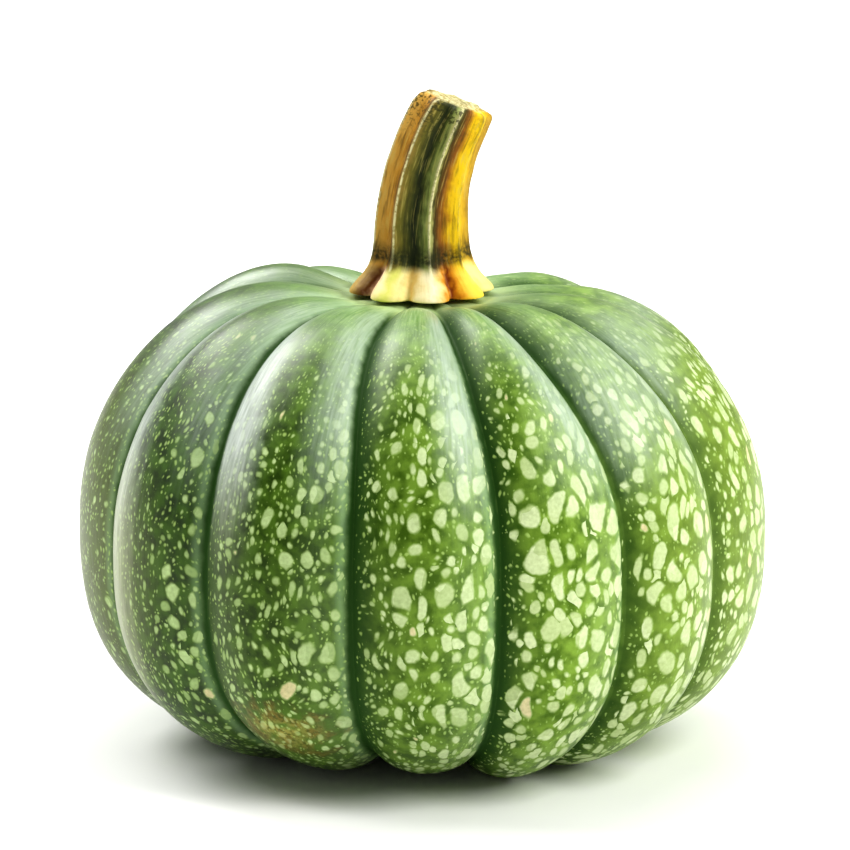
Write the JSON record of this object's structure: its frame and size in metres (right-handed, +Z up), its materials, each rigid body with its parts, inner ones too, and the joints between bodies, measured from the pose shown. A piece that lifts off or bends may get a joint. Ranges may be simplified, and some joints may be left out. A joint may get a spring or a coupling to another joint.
{
  "type": "kabocha squash",
  "caption": "Round, deeply ribbed green squash with pale flecks and a fluted, bent cut stalk, resting on the feet of its ribs.",
  "frame": {"origin": "on the surface that the squash rests on, under the middle of the whole object's box", "axes": "+Z up along the stalk, -Y the front, +X the side that the stalk leans to"},
  "size_m": [0.1798, 0.1798, 0.172],
  "materials": {
    "rind": "waxy squash rind: green, with pale yellow-green flecks and darker blue-green grooves",
    "stalk_cork": "corky ridged stalk: olive green to golden yellow, with a cream foot"
  },
  "bodies": {
    "root": {"fruit": "rind", "stalk": "stalk_cork"}
  },
  "joints": []
}
